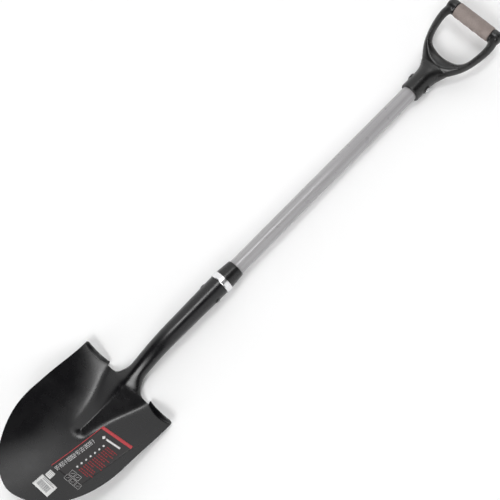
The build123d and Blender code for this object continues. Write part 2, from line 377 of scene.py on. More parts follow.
def taupe_rubber():
    """Soft grip foam with fine pores, their hollows painted darker as painted shade."""
    n = Nodes("taupe_grip")
    cloud = n.noise(70, 5)
    pores = n.noise(1300, 3)
    base = n.ramp(cloud, [(0.3, (0.235, 0.195, 0.178)), (0.7, (0.30, 0.255, 0.236))])
    # painted shade: the pores' low places (same noise as the bump) are darkened in the colour
    n.link(n.blend(n.ramp(pores, [(0.35, 0.6), (0.55, 0.0)]), base, (0.15, 0.12, 0.11)),
           "Base Color")
    n.link(n.ramp(n.noise(200, 3), [(0.3, 0.66), (0.7, 0.82)]), "Roughness")
    n.bump([pores, n.noise(350, 2)], 0.35, 0.0004)
    n.set(Specular_IOR_Level=0.35)
    return n.material


def printed(name, colour, rough=0.5, spread=0.12):
    """Screen-printed ink or paper with slight unevenness."""
    n = Nodes(name)
    low = tuple(c * (1 - spread) for c in colour)
    n.link(n.ramp(n.noise(160, 5), [(0.3, low), (0.7, colour)]), "Base Color")
    n.link(n.ramp(n.noise(300, 3), [(0.3, rough * 0.9), (0.7, rough * 1.1)]), "Roughness")
    n.bump([n.noise(1500, 2)], 0.08, 0.0001)
    return n.material


def core_wood():
    """Plain dowel, end grain and all, hidden in the shaft."""
    n = Nodes("core_wood")
    rings = n.node("ShaderNodeTexWave", {"Vector": n.stretched((1, 0.05, 1))}, Scale=160,
                   Distortion=6, Detail=3)
    n.link(n.ramp(rings.outputs["Fac"], [(0.2, (0.42, 0.28, 0.15)), (0.8, (0.62, 0.46, 0.28))]),
           "Base Color")
    n.link(n.ramp(n.noise(200, 4), [(0.3, 0.55), (0.7, 0.75)]), "Roughness")
    n.bump([rings.outputs["Fac"]], 0.2, 0.0003)
    return n.material


PAINT = black_paint()
FIBREGLASS = grey_fibreglass()
PLASTIC = black_plastic()
CHROME = bright_metal("bright_ring", (0.86, 0.86, 0.87), 0.16, relief=0.015)
STEEL = bright_metal("steel_rivet", (0.62, 0.62, 0.63), 0.20, (60, 1, 1))
BLACK_RIVET = black_plastic("black_rivet_paint", 0.007, 700)
TAUPE = taupe_rubber()
FILM = printed("label_film", (0.016, 0.0135, 0.014), 0.34, 0.2)
RED = printed("label_red", (0.52, 0.055, 0.065))
DARK_RED = printed("label_dark_red", (0.30, 0.022, 0.028))
WHITE = printed("label_white", (0.80, 0.80, 0.80))
PALE_INK = printed("label_pale", (0.48, 0.47, 0.47))
GREY_INK = printed("label_grey", (0.30, 0.30, 0.31))
PAPER = printed("sticker_paper", (0.78, 0.78, 0.77), 0.7)
WOOD = core_wood()


# ------------------------------------------------------------------ blade surface

def centre_z(y):
    """Height of the dish along the middle: a parabola through point, frog tip and heel."""
    drop_frog = (FROG_TIP_Z - TIP_LIFT) / FROG_TIP_Y
    drop_heel = (HEEL_Z - TIP_LIFT) / HEEL_Y
    bend = (drop_heel - drop_frog) / (HEEL_Y - FROG_TIP_Y)
    return TIP_LIFT + (drop_frog - bend * FROG_TIP_Y) * y + bend * y * y


def face_z(x, y):
    """Front face of the blade, without its frog."""
    dish = (DISH_AT_TIP + DISH_GAIN * smooth(y, 30, 110)
            - DISH_LOSS * smooth(y, 175, HEEL_Y + 6))
    return centre_z(y) + dish * x * x


def half_width(y):
    """Half width of the outline: rounded point, then parallel sides."""
    s = 1 - min(y / POINT_LENGTH, 1)
    return BLADE_HALF_WIDTH * (1 - s * s) ** (1 / OUTLINE_POWER)


def socket_radius(y):
    """Outer radius of the socket, which widens evenly to its mouth."""
    s = (y - NECK_END_Y) / (MOUTH_Y - NECK_END_Y)
    return NECK_RADIUS + (MOUTH_RADIUS - NECK_RADIUS) * s


FROG_ARC_Y = FROG_NOSE_Y + FROG_TIP_RADIUS
FROG_ANGLE = math.atan((FROG_HALF_WIDTH - FROG_TIP_RADIUS) / (HEEL_Y - FROG_ARC_Y))


def crest_z(y):
    """Top of the frog, which sweeps up at the heel into the top of the socket."""
    rise = max(y - FROG_ARC_Y, 0) / (HEEL_Y - FROG_ARC_Y)
    frog = centre_z(y) + FROG_LOW_HEIGHT + FROG_SWEEP_HEIGHT * rise ** FROG_SWEEP_POWER
    span = AXIS_END_Y - HEEL_Y
    t = min((y - HEEL_Y) / span, 1)
    start = HEEL_Z + FROG_LOW_HEIGHT + FROG_SWEEP_HEIGHT
    neck = ((start * (1 + 2 * t) + NECK_SLOPE * span * t) * (1 - t) ** 2
            + socket_radius(max(y, AXIS_END_Y)) * t * t * (3 - 2 * t))
    return mix(frog, neck, smooth(y, HEEL_Y - 16, HEEL_Y + 10))


def inside_frog(x, y):
    """Distance inside the frog's plan: a wedge whose tip is an arc."""
    past = y - FROG_ARC_Y
    if x * math.sin(FROG_ANGLE) + past * math.cos(FROG_ANGLE) < 0:
        return FROG_TIP_RADIUS - math.hypot(x, past)
    return FROG_TIP_RADIUS + past * math.sin(FROG_ANGLE) - x * math.cos(FROG_ANGLE)


def frog_half_width(y):
    """Where the frog's flank meets the dish."""
    past = y - FROG_ARC_Y
    if past < 0:
        return math.sqrt(max(FROG_TIP_RADIUS ** 2 - past ** 2, 0))
    return FROG_TIP_RADIUS + past * math.tan(FROG_ANGLE)


def soft_ramp(value, softness):
    """max(value, 0) with its corner rounded."""
    return softness * math.log1p(math.exp(min(value / softness, 60)))


def frog_z(x, y):
    """Height of the frog above the dish: flat flanks, a round crest and filleted feet."""
    if y < FROG_NOSE_Y - 14:
        return 0
    crest = mix(SHARP_CREST, ROUND_CREST, smooth(y, 190, HEEL_Y))
    away = math.hypot(x, crest) - crest
    depth = soft_ramp(inside_frog(away, y), FILLET)
    behind = max(y, FROG_ARC_Y)
    top = soft_ramp(inside_frog(0, behind), FILLET)
    return (crest_z(behind) - centre_z(behind)) * depth / top


def surface(x, y):
    """Front face of the blade, with its frog."""
    return face_z(x, y) + frog_z(x, y)


def bend_line(x):
    """Rear edge of the wing, where the step turns up."""
    middle = (STEP_INNER_X + STEP_OUTER_X) / 2
    reach = (STEP_OUTER_X - STEP_INNER_X) / 2
    return HEEL_Y - STEP_SAG * max(0, 1 - ((abs(x) - middle) / reach) ** 2)


def arch_boundary(y):
    """Mesh line between wing and frog columns, just outside the frog's foot."""
    margin = mix(9, 2, smooth(y, 200, HEEL_Y))
    return min(max(frog_half_width(y), 10) + margin, half_width(y) * 0.5)


def spread(cuts, counts):
    """Fractions 0..1 through the cuts, with so many cells between each two."""
    values = [cuts[0]]
    for low, high, count in zip(cuts, cuts[1:], counts):
        values += [mix(low, high, (k + 1) / count) for k in range(count)]
    return values


def neck_point(s, y):
    """A point of the section behind the heel, from one foot (-1) to the other (1)."""
    x = arch_boundary(HEEL_Y) * s
    radius = socket_radius(y)
    wrap = mix(OPEN_WRAP, CLOSED_WRAP, smooth(y, HEEL_Y, NECK_Y))
    turn = math.radians(wrap) * s
    curl = min(max(y - HEEL_Y, 0) / CURL_RADIUS, 1)
    m = mix(smooth(y, HEEL_Y, HEEL_Y + 34), math.sqrt(curl * (2 - curl)), s * s)
    ring = (radius * math.sin(turn), crest_z(y) - radius + radius * math.cos(turn))
    return (mix(x, ring[0], m), y, mix(surface(x, y), ring[1], m))


def step_width(x):
    """Width of the turned strip: widest in the middle, narrow at the outer corner."""
    s = (abs(x) - STEP_INNER_X) / (STEP_OUTER_X - STEP_INNER_X)
    ends = mix(STEP_INNER_WIDTH, STEP_OUTER_WIDTH, s)
    width = ends + (STEP_WIDTH - ends) * (1 - (2 * s - 1) ** 2)
    round_end = min(max((abs(x) - STEP_OUTER_X + 5) / 5, 0), 1)
    return STEP_BEND + (width - STEP_BEND) * max(math.sqrt(1 - round_end ** 2), 0.12)


def step_points(x, y, z, count=5):
    """Points up the step from its bend line: a small arc, then a flat strip."""
    points = []
    for k in range(1, count + 1):
        turn = math.radians(STEP_ANGLE) * k / count
        points.append((x, y + STEP_BEND * math.sin(turn), z + STEP_BEND * (1 - math.cos(turn))))
    last = points[-1]
    flat = step_width(x) - STEP_BEND
    tilt = math.radians(STEP_ANGLE)
    for k in (1, 2, 3):
        reach = flat * k / 3
        points.append((x, last[1] + reach * math.cos(tilt), last[2] + reach * math.sin(tilt)))
    return points


BLADE_ROWS = 220
NECK_ROWS = 52
SOCKET_ROWS = 14
WING_CELLS = (4, 16, 8)     # columns inside the step, along it and at its outer corner
ARCH_CELLS = 60             # columns across the frog and round the socket
# The same columns as places from the left foot, -1, to the right one, 1.
ARCH = [-1 + 2 * k / ARCH_CELLS for k in range(ARCH_CELLS + 1)]


def wing_fractions():
    """How far out each wing column lies: 0 at the frog's border, 1 at the blade's edge."""
    inner = arch_boundary(HEEL_Y)
    span = BLADE_HALF_WIDTH - inner
    cuts = [0, (STEP_INNER_X - inner) / span, (STEP_OUTER_X - 6 - inner) / span, 1]
    return spread(cuts, WING_CELLS)


def blade_row(y, wing):
    """One row of points across the blade: left wing, frog, right wing."""
    inner = arch_boundary(HEEL_Y)
    span = BLADE_HALF_WIDTH - inner
    border, edge = arch_boundary(y), half_width(y)
    trim = TIP_TRIM * (1 - smooth(y, 0, 40))
    wings = []
    for side in (-1, 1):
        cells = []
        for f in wing:
            bow = (bend_line(inner + span * f) - HEEL_Y) * smooth(y, HEEL_Y - 45, HEEL_Y)
            x = side * (border + (edge - border) * f)
            there = y + bow + trim
            cells.append((x, there, surface(x, there)))
        wings.append(cells)
    there = y + trim
    middle = [(border * s, there, surface(border * s, there)) for s in ARCH[1:-1]]
    return wings[0][::-1] + middle + wings[1]


def neck_stations():
    """Where the rows behind the heel lie: dense at the heel, then even up to the mouth."""
    neck = [mix(HEEL_Y, AXIS_END_Y, (k / NECK_ROWS) ** 1.6) for k in range(1, NECK_ROWS + 1)]
    return neck + [mix(AXIS_END_Y, MOUTH_Y - 0.5, k / SOCKET_ROWS)
                   for k in range(1, SOCKET_ROWS + 1)]


def add_row(points, faces, above, row):
    """Appends a row of points, and the quads between it and the row of indices above."""
    here = list(range(len(points), len(points) + len(row)))
    points += row
    faces += [(above[k], above[k + 1], here[k + 1], here[k]) for k in range(len(row) - 1)]
    return here


def blade_piece():
    """The pressed sheet: dished blade, frog, rolled socket and both steps, in one mesh."""
    wing = wing_fractions()
    points = []
    for k in range(1, BLADE_ROWS + 1):
        points += blade_row(HEEL_Y * (k / BLADE_ROWS) ** 1.3, wing)
    cols = 2 * len(wing) + len(ARCH) - 2
    faces = grid_faces(BLADE_ROWS, cols)
    heel = list(range((BLADE_ROWS - 1) * cols, BLADE_ROWS * cols))
    above = heel[len(wing) - 1:len(wing) - 1 + len(ARCH)]
    for y in neck_stations():
        above = add_row(points, faces, above, [neck_point(s, y) for s in ARCH])
    turned = len(wing) - WING_CELLS[0]
    for bend in (heel[:turned], heel[-turned:]):
        above = bend
        for level in zip(*[step_points(*points[i]) for i in bend]):
            above = add_row(points, faces, above, list(level))
    piece = new_piece("blade_sheet", points, faces, PAINT, ["blade"])
    add_modifier(piece, "SOLIDIFY", thickness=SHEET * MM, offset=-1)
    bevel(piece, 0.45, 2, 55)
    return piece


# ------------------------------------------------------------------ shaft, sleeve, ring, rivets

def shaft_piece():
    """The fibreglass tube, its ends inside the socket and the handle's neck."""
    corners = [(SHAFT_BORE, SHAFT_START_Y), (SHAFT_RADIUS, SHAFT_START_Y),
               (SHAFT_RADIUS, SHAFT_END_Y), (SHAFT_BORE, SHAFT_END_Y)]
    return ring_piece("shaft_tube", corners, 0.4, FIBREGLASS, ["shaft"])


def sleeve_piece():
    """Tapered bush with the collar that shows between ring and shaft."""
    seat = MOUTH_Y + 0.1
    bore = SHAFT_RADIUS + GAP
    corners = [(bore, SLEEVE_START_Y), (15.9, SLEEVE_START_Y), (17.55, seat),
               (MOUTH_RADIUS - 0.1, seat), (MOUTH_RADIUS - 0.4, seat + 9),
               (17.5, SLEEVE_LIP_Y - 4), (16.9, SLEEVE_LIP_Y), (bore, SLEEVE_LIP_Y)]
    return ring_piece("socket_bush", corners, 1.1, PLASTIC, ["socket_sleeve"])


def ring_band():
    """Rolled bright band with turned-in edges."""
    low, high = MOUTH_Y - RING_HALF_WIDTH, MOUTH_Y + RING_HALF_WIDTH
    corners = [(RING_BORE, low), (RING_RADIUS - 0.5, low), (RING_RADIUS, low + 1.4),
               (RING_RADIUS, high - 1.4), (RING_RADIUS - 0.5, high), (RING_BORE, high)]
    return ring_piece("mouth_band", corners, 0.5, CHROME, ["clamp_ring"])


def dome(y, seat, radius, height, side, recess=0.0):
    """Points and faces of a low domed head along X at the shaft position y."""
    profile = [(0.001, height - recess), (radius * 0.22, height - recess),
               (radius * 0.34, height), (radius * 0.6, height * 0.93),
               (radius * 0.82, height * 0.74), (radius * 0.95, height * 0.45),
               (radius, height * 0.2), (radius, 0), (0.001, 0)]
    segments = 48

    def across(u, v, h):
        return (side * (seat + h), y + u, v)

    points = lathe_points(profile, across, segments)
    faces = grid_faces(len(profile), segments, closed_cols=True)
    return points, [face if side > 0 else face[::-1] for face in faces]


def joined(shapes):
    """Several (points, faces) shapes as one."""
    points, faces = [], []
    for more_points, more_faces in shapes:
        start = len(points)
        points += more_points
        faces += [tuple(start + i for i in face) for face in more_faces]
    return points, faces


def shank(y, radius, half_length):
    """A plain pin across the shaft."""
    profile = [(0.001, -half_length), (radius, -half_length), (radius, half_length),
               (0.001, half_length)]

    def across(u, v, h):
        return (h, y + u, v)

    points = lathe_points(profile, across, 32)
    return points, grid_faces(len(profile), 32, closed_cols=True)


def socket_rivet_piece():
    """Black rivet through the socket, with a low head at each side."""
    seat = socket_radius(SOCKET_RIVET_Y) + GAP
    shapes = [dome(SOCKET_RIVET_Y, seat, SOCKET_HEAD_RADIUS, SOCKET_HEAD_HEIGHT, side)
              for side in (-1, 1)]
    points, faces = joined(shapes + [shank(SOCKET_RIVET_Y, SOCKET_PIN_RADIUS, seat)])
    return new_piece("socket_pin", points, faces, BLACK_RIVET, ["socket_rivet"])


def handle_rivet_piece():
    """Bright rivet through the handle's bosses, its heads slightly hollow."""
    seat = BOSS_HALF_WIDTH + WASHER_HEIGHT + GAP
    shapes = [dome(RIVET_Y, seat, HANDLE_HEAD_RADIUS, HANDLE_HEAD_HEIGHT, side, recess=0.5)
              for side in (-1, 1)]
    points, faces = joined(shapes + [shank(RIVET_Y, HANDLE_PIN_RADIUS, seat)])
    return new_piece("handle_pin", points, faces, STEEL, ["handle_rivet"])


def washers_piece():
    """The two thin washers under the handle rivet's heads."""
    corners = [(WASHER_BORE, 0), (WASHER_RADIUS, 0), (WASHER_RADIUS, WASHER_HEIGHT),
               (WASHER_BORE, WASHER_HEIGHT)]
    profile = rounded_profile(corners, 0.2)
    shapes = []
    for side in (-1, 1):
        def across(u, v, h, side=side):
            return (side * (BOSS_HALF_WIDTH + GAP + h), RIVET_Y + u, v)

        faces = grid_faces(len(profile), 48, closed_cols=True, closed_rows=True)
        faces = [face if side < 0 else face[::-1] for face in faces]
        shapes.append((lathe_points(profile, across, 48), faces))
    points, faces = joined(shapes)
    return new_piece("handle_pin_washers", points, faces, STEEL,
                     ["handle_rivet_washers"])


# ------------------------------------------------------------------ D-handle

def lean(x, y, z):
    """Tilts a point of the D forward about the top of its neck."""
    turn = math.radians(LEAN) * smooth(y, LEAN_Y - 12, LEAN_Y + 12)
    up = y - LEAN_Y
    return (x, LEAN_Y + up * math.cos(turn) - z * math.sin(turn),
            up * math.sin(turn) + z * math.cos(turn))


def curve_through(knots, count):
    """Catmull-Rom values through rows of numbers."""
    rows = [knots[0]] + list(knots) + [knots[-1]]
    result = []
    spans = len(knots) - 1
    for k in range(count + 1):
        place_on = min(k / count * spans, spans - 1e-9)
        i = int(place_on)
        t = place_on - i
        a, b, c, d = rows[i:i + 4]
        result.append(tuple(
            0.5 * (2 * q + (r - p) * t + (2 * p - 5 * q + 4 * r - s) * t * t
                   + (3 * q - p - 3 * r + s) * t ** 3)
            for p, q, r, s in zip(a, b, c, d)))
    return result


# Right half of the D, from the bottom of the opening to the top of the arm:
# inner wall x, y, then the arm's breadth, its half depth and how far in its crest lies.
D_KNOTS = [
    (0.0, 1095.0, 31.0, 13.2, 20.0),
    (11.0, 1096.0, 31.0, 13.2, 18.0),
    (21.0, 1098.5, 28.0, 13.0, 14.0),
    (31.5, 1103.3, 18.5, 12.6, 9.5),
    (38.8, 1111.3, 13.4, 12.3, 7.5),
    (43.2, 1123.0, 13.0, 12.0, 5.8),
    (46.2, 1138.0, 13.6, 12.0, 5.4),
    (47.6, 1152.0, 14.5, 12.0, 5.6),
    (46.8, 1163.0, 15.8, 12.5, 6.4),
    (43.2, 1171.5, 19.2, 13.2, 7.4),
    (40.9, 1179.0, 21.6, 13.6, 8.6),
    (40.9, 1186.0, 21.2, 13.0, 8.6),
]


def d_section(inner, outward, breadth, depth, crest, count=48):
    """A closed section: two crests, steep flanks towards the hand and fuller ones outwards."""
    points = []
    for k in range(count):
        turn = 2 * math.pi * k / count
        c, s = math.cos(turn), math.sin(turn)
        v = depth * math.copysign(abs(s) ** 1.3, s)
        if c >= 0:
            u = crest + (breadth - crest) * c ** 1.1
        else:
            u = crest - crest * abs(c) ** 1.3
        points.append((inner[0] + outward[0] * u, inner[1] + outward[1] * u, v))
    return points


def arm_cap(x, y, breadth, depth, crest, side, steps=6):
    """Sections that round off the top of an arm."""
    sections = []
    for k in range(1, steps + 1):
        t = k / steps
        shrink = math.sqrt(1 - (0.97 * t) ** 2)
        slim = mix(1, shrink, 0.75)
        start = (x + side * breadth * 0.5 * (1 - shrink) * 0.9, y + 4.5 * t)
        sections.append(d_section(start, (side, 0), breadth * slim, depth * shrink,
                                  crest * slim))
    return sections


def d_loop():
    """The U of the D as one closed tube, swept round the hand opening."""
    half = curve_through(D_KNOTS, 60)
    path = [(-knot[0], *knot[1:]) for knot in half[:0:-1]] + half
    sections = []
    for i, (x, y, breadth, depth, crest) in enumerate(path):
        before, after = path[max(i - 1, 0)], path[min(i + 1, len(path) - 1)]
        along = Vector((after[0] - before[0], after[1] - before[1])).normalized()
        sections.append(d_section((x, y), (along.y, -along.x), breadth, depth, crest))
    sections = arm_cap(*path[0], -1)[::-1] + sections + arm_cap(*path[-1], 1)
    cols = len(sections[0])
    points = [lean(*p) for section in sections for p in section]
    faces = grid_faces(len(sections), cols, closed_cols=True)
    faces.append(tuple(range(cols))[::-1])
    faces.append(tuple((len(sections) - 1) * cols + k for k in range(cols)))
    return points, faces


# Neck and yoke: y, half width, half depth.
NECK_KNOTS = [
    (1002.0, 18.6, 18.6),
    (1003.2, 19.5, 19.5),
    (1020.0, 19.5, 19.5),
    (1038.0, 19.5, 19.5),
    (1048.0, 20.7, 18.8),
    (1056.0, 22.7, 17.8),
    (1064.0, 26.1, 16.0),
    (1070.0, 29.0, 13.6),
    (1076.0, 31.0, 10.6),
    (1081.0, 30.0, 7.0),
]


def neck_body():
    """The round neck that widens and flattens into the yoke."""
    sections = curve_through(NECK_KNOTS, 54)
    count = 64
    points = []
    for y, wide, deep in sections:
        power = mix(1.0, 0.9, smooth(y, 1045, 1075))
        for k in range(count):
            turn = 2 * math.pi * k / count
            c, s = math.cos(turn), math.sin(turn)
            x = wide * math.copysign(abs(c) ** power, c)
            z = deep * math.copysign(abs(s) ** power, s)
            points.append(lean(x, y, z))
    faces = [face[::-1] for face in grid_faces(len(sections), count, closed_cols=True)]
    faces.append(tuple(range(count)))
    faces.append(tuple((len(sections) - 1) * count + k for k in range(count))[::-1])
    return points, faces


def boss(side):
    """The raised round seat of the handle rivet."""
    profile = [(0.001, 10), (9.0, 10), (8.8, 19.6), (8.2, 20.6), (7.6, BOSS_HALF_WIDTH),
               (0.001, BOSS_HALF_WIDTH)]

    def across(u, v, h):
        return (side * h, RIVET_Y + u, v)

    faces = grid_faces(len(profile), 48, closed_cols=True)
    return lathe_points(profile, across, 48), [f if side < 0 else f[::-1] for f in faces]


def hub(side):
    """The round head of an arm, which covers the end of the grip."""
    profile = [(0.001, 41.2), (13.4, 41.2), (14.1, 42.0), (14.1, 50.0), (13.0, 55.5), (10.5, 59.2),
               (6.5, 61.3), (0.001, 61.9)]

    def across(u, v, h):
        return lean(side * h, GRIP_Y + u, v)

    faces = grid_faces(len(profile), 64, closed_cols=True)
    return lathe_points(profile, across, 64), [f if side < 0 else f[::-1] for f in faces]


def bore_cutter():
    """A cylinder that cuts the shaft's blind bore into the handle's neck."""
    radius, low, high = SHAFT_RADIUS + 0.15, LIP_Y - 6, SHAFT_END_Y + 1
    profile = [(0.001, low), (radius, low), (radius, high), (0.001, high)]
    points = [place(*p) for p in lathe_points(profile, along_shaft, 64)]
    faces = [f[::-1] for f in grid_faces(len(profile), 64, closed_cols=True)]
    mesh = bpy.data.meshes.new("bore")
    mesh.from_pydata(points, [], faces)
    cutter = bpy.data.objects.new("bore_tool", mesh)
    bpy.context.scene.collection.objects.link(cutter)
    return cutter


def handle_piece():
    """The moulded D: its bodies fused by a remesh, blended by smoothing, then bored."""
    points, faces = joined([d_loop(), neck_body(), hub(-1), hub(1), boss(-1), boss(1)])
    piece = new_piece("d_handle", points, faces, PLASTIC, ["handle_frame"])
    add_modifier(piece, "REMESH", mode="VOXEL", voxel_size=0.9 * MM, use_smooth_shade=True)
    add_modifier(piece, "SMOOTH", factor=0.5, iterations=9)
    apply_modifiers(piece)
    cutter = bore_cutter()
    add_modifier(piece, "BOOLEAN", operation="DIFFERENCE", object=cutter, solver="EXACT")
    apply_modifiers(piece)
    bpy.data.objects.remove(cutter)
    for polygon in piece.data.polygons:
        polygon.use_smooth = True
    return piece


def grip_piece():
    """Soft sleeve with rounded ends and slightly uneven finger side."""
    half, rounding = GRIP_HALF_LENGTH, 2.0
    segments, stations = 96, 90
    points = []
    for k in range(stations + 1):
        h = mix(-half, half, k / stations)
        inward = rounding - min(half - abs(h), rounding)
        fall = rounding - math.sqrt(max(rounding ** 2 - inward ** 2, 0))
        radius = GRIP_RADIUS - fall * 0.9
        for j in range(segments):
            turn = 2 * math.pi * j / segments
            under = max(-math.cos(turn), 0)
            wave = under * (0.30 * math.sin(h * 0.33) + 0.18 * math.sin(h * 0.9 + 1.0)) - 0.15
            reach = radius + wave
            points.append(lean(h, GRIP_Y + reach * math.cos(turn), reach * math.sin(turn)))
    start = len(points)
    points += [lean(side * half, GRIP_Y, 0) for side in (-1, 1)]
    faces = [f[::-1] for f in grid_faces(stations + 1, segments, closed_cols=True)]
    last = stations * segments
    for j in range(segments):
        after = (j + 1) % segments
        faces.append((start, j, after))
        faces.append((start + 1, last + after, last + j))
    return new_piece("hand_grip", points, faces, TAUPE, ["grip_sleeve"])


# ------------------------------------------------------------------ label and stickers

def patch(corners, lift, cell=3.0):
    """A patch of the blade's face inside four plan-view corners, as a fine grid."""
    a, b, c, d = [Vector(p) for p in corners]
    across = max(1, round(max((b - a).length, (c - d).length) / cell))
    along = max(1, round(max((d - a).length, (c - b).length) / cell))
    points = []
    for i in range(along + 1):
        v = i / along
        left, right = a.lerp(d, v), b.lerp(c, v)
        for j in range(across + 1):
            p = left.lerp(right, j / across)
            points.append((p.x, p.y, surface(p.x, p.y) + lift))
    return points, grid_faces(along + 1, across + 1)


def printed_piece(name, shapes, lift, material, replaces=(), thickness=0.1):
    """Flat shapes given by their corners, laid on the blade as one thin printed piece."""
    points, faces = joined([patch(corners, lift) for corners in shapes])
    piece = new_piece(name, points, faces, material, replaces)
    add_modifier(piece, "SOLIDIFY", thickness=thickness * MM, offset=-1)
    return piece


def bar(start, end, width):
    """Corners of a straight bar between two plan-view points."""
    start, end = Vector(start), Vector(end)
    way = (end - start).normalized()
    side = Vector((-way.y, way.x)) * (width / 2)
    return [start - side, start + side, end + side, end - side][::-1]


def box(centre, wide, high, turn):
    """Corners of a turned rectangle."""
    c, s = math.cos(math.radians(turn)), math.sin(math.radians(turn))
    local = [(-wide / 2, -high / 2), (wide / 2, -high / 2), (wide / 2, high / 2),
             (-wide / 2, high / 2)]
    return [Vector((centre[0] + u * c - v * s, centre[1] + u * s + v * c)) for u, v in local]


def outline(centre, wide, high, turn, line):
    """A turned rectangle drawn as four bars."""
    a, b, c, d = box(centre, wide, high, turn)
    return [bar(a, b, line), bar(b, c, line), bar(c, d, line), bar(d, a, line)]


LABEL = [(14.0, 78.0), (76.0, 84.0), (90.0, 191.5), (23.0, 181.5)]
RULE_LOW, RULE_CORNER, RULE_RIGHT = (13.8, 76.5), (22.6, 181.0), (89.5, 191.0)
HEADLINE_LOW, HEADLINE_TOP = (19.8, 78.0), (26.6, 158.0)
BULLET_TOP, BULLET_LOW = (49.8, 160.0), (45.9, 105.0)
BULLETS = 7
FILM_LIFT = 0.18            # top of the label's film above the paint
INK_LIFT = 0.30             # and of its print
STICKER_LIFT = 0.30         # top of the two stickers above the paint
STICKER_INK_LIFT = 0.38     # and of their print
STICKER_TURN = 3            # degrees
STRIPE_CENTRE = (34.3, 46.6)
PLAIN_CENTRE = (24.8, 65.0)


def headline_marks(rng):
    """The headline beside the thin rule: upright outlined blocks over a row of small ones."""
    marks = []
    low, top = Vector(HEADLINE_LOW), Vector(HEADLINE_TOP)
    run = (top - low).normalized()
    side = Vector((run.y, -run.x))
    turn = math.degrees(math.atan2(run.y, run.x))
    reach = 0.0
    while reach < (top - low).length - 3:
        length = rng.choice((1.6, 2.2, 2.8))
        middle = low + run * reach + run * (length / 2)
        marks += outline(middle + side * 2.5, length, 5.0, turn, 0.5)
        marks.append(box(middle + side * 7.3, length * 0.8, 1.21, turn))
        reach += length + rng.choice((0.9, 0.9, 2.6))
    return marks


def greeked_row(start, length, rng):
    """A row of type as short bars with gaps between them."""
    way = Vector((1.0, 0.10))
    words = []
    cursor = 0.0
    while cursor < length:
        end = min(cursor + rng.uniform(2.5, 6.0), length)
        words.append(bar(start + way * cursor, start + way * end, 1.9))
        cursor = end + 1.1
    return words


def bullets_and_rows(rng):
    """The bullets, each with a long and a shorter row of type beside it."""
    bullets, rows = [], []
    for k in range(BULLETS):
        centre = Vector(BULLET_TOP).lerp(Vector(BULLET_LOW), k / (BULLETS - 1))
        bullets += [box(centre, 3.0, 3.0, turn) for turn in (0, 45)]
        for lift, shortest, longest in ((2.6, 22, 29), (-1.4, 12, 27)):
            length = rng.uniform(shortest, longest)
            rows += greeked_row(centre + Vector((6.0, lift)), length, rng)
    return bullets, rows


def pictograms():
    """Outlined frames with one plain stroke in each."""
    shapes = []
    for column, level in ((0, 0), (0, 1), (1, 0), (1, 1), (2, 0)):
        x = 50.0 + 12.0 * column
        y = 81.5 + 10.5 * level + 1.2 * column
        shapes += outline((x, y), 10.0, 8.6, 6, 0.6)
        shapes.append(bar((x - 2.5, y - 2), (x + 2.5, y + 2), 0.6))
    return shapes


def label_pieces():
    """Dark film with red rules and greeked print. A plain bar and dot stand for the mark."""
    rng = random.Random(7)
    headline = headline_marks(rng)
    bullets, rows = bullets_and_rows(rng)
    sign = [bar((44.0, 171.0), (75.0, 176.0), 3.4), box((38.5, 170.3), 5.0, 5.0, 54)]
    printed_piece("label_ground", [LABEL], FILM_LIFT, FILM, ["printed_label"])
    for name, shapes, ink in (
        ("label_thin_rule", [bar(RULE_LOW, RULE_CORNER, 1.3)], RED),
        ("label_thick_rule", [bar(RULE_CORNER, RULE_RIGHT, 5.6)], RED),
        ("label_headline", headline, WHITE),
        ("label_bar", sign, WHITE),
        ("label_bullets", bullets, WHITE),
        ("label_rows", rows, DARK_RED),
        ("label_pictograms", pictograms(), PALE_INK),
    ):
        printed_piece(name, shapes, INK_LIFT, ink)


def stripe_marks(centre):
    """Plain upright stripes of uneven width, with two bars above them."""
    rng = random.Random(3)
    stripes = []
    cursor = -13.0
    while cursor < 12.5:
        width = rng.choice((0.5, 0.8, 1.3))
        stripes.append(box(centre + Vector((cursor, -1.6)), width, 10.5, STICKER_TURN))
        cursor += width + rng.choice((0.5, 0.9))
    stripes.append(box(centre + Vector((0.5, 6.6)), 27.0, 1.1, STICKER_TURN))
    stripes.append(box(centre + Vector((-2.0, 8.6)), 20.0, 0.9, STICKER_TURN))
    return stripes


def sticker_pieces():
    """A white sticker with a block of plain stripes, and a small square one."""
    centre = Vector(STRIPE_CENTRE)
    printed_piece("stripe_sticker", [box(centre, 36.0, 21.5, STICKER_TURN)], STICKER_LIFT,
                  PAPER, ["barcode_sticker"], 0.15)
    printed_piece("stripe_sticker_print", stripe_marks(centre), STICKER_INK_LIFT, GREY_INK,
                  (), 0.06)
    centre = Vector(PLAIN_CENTRE)
    printed_piece("plain_sticker", [box(centre, 12.4, 12.0, STICKER_TURN)], STICKER_LIFT,
                  PAPER, ["square_sticker"], 0.15)
    lines = [box(centre + Vector((0, -3.6 + 2.4 * k)), 8.4, 0.8, STICKER_TURN)
             for k in range(4)]
    printed_piece("plain_sticker_print", lines, STICKER_INK_LIFT, GREY_INK,
                  (), 0.06)


# ------------------------------------------------------------------ camera, floor and light

CAMERA_AZIMUTH = 15.54      # degrees round the shaft, towards +X
CAMERA_TILT = 11.49         # degrees towards the blade's point
CAMERA_ROLL = 44.82
CAMERA_DISTANCE = 2107.0
CAMERA_TARGET = (-4.8, 581.1, 0.0)
CAMERA_LENS = 85.48
FLOOR_HALF_SIZE = 20.0      # metres
FLOOR_Z = -0.0006
TENT_STRENGTH = 1.04


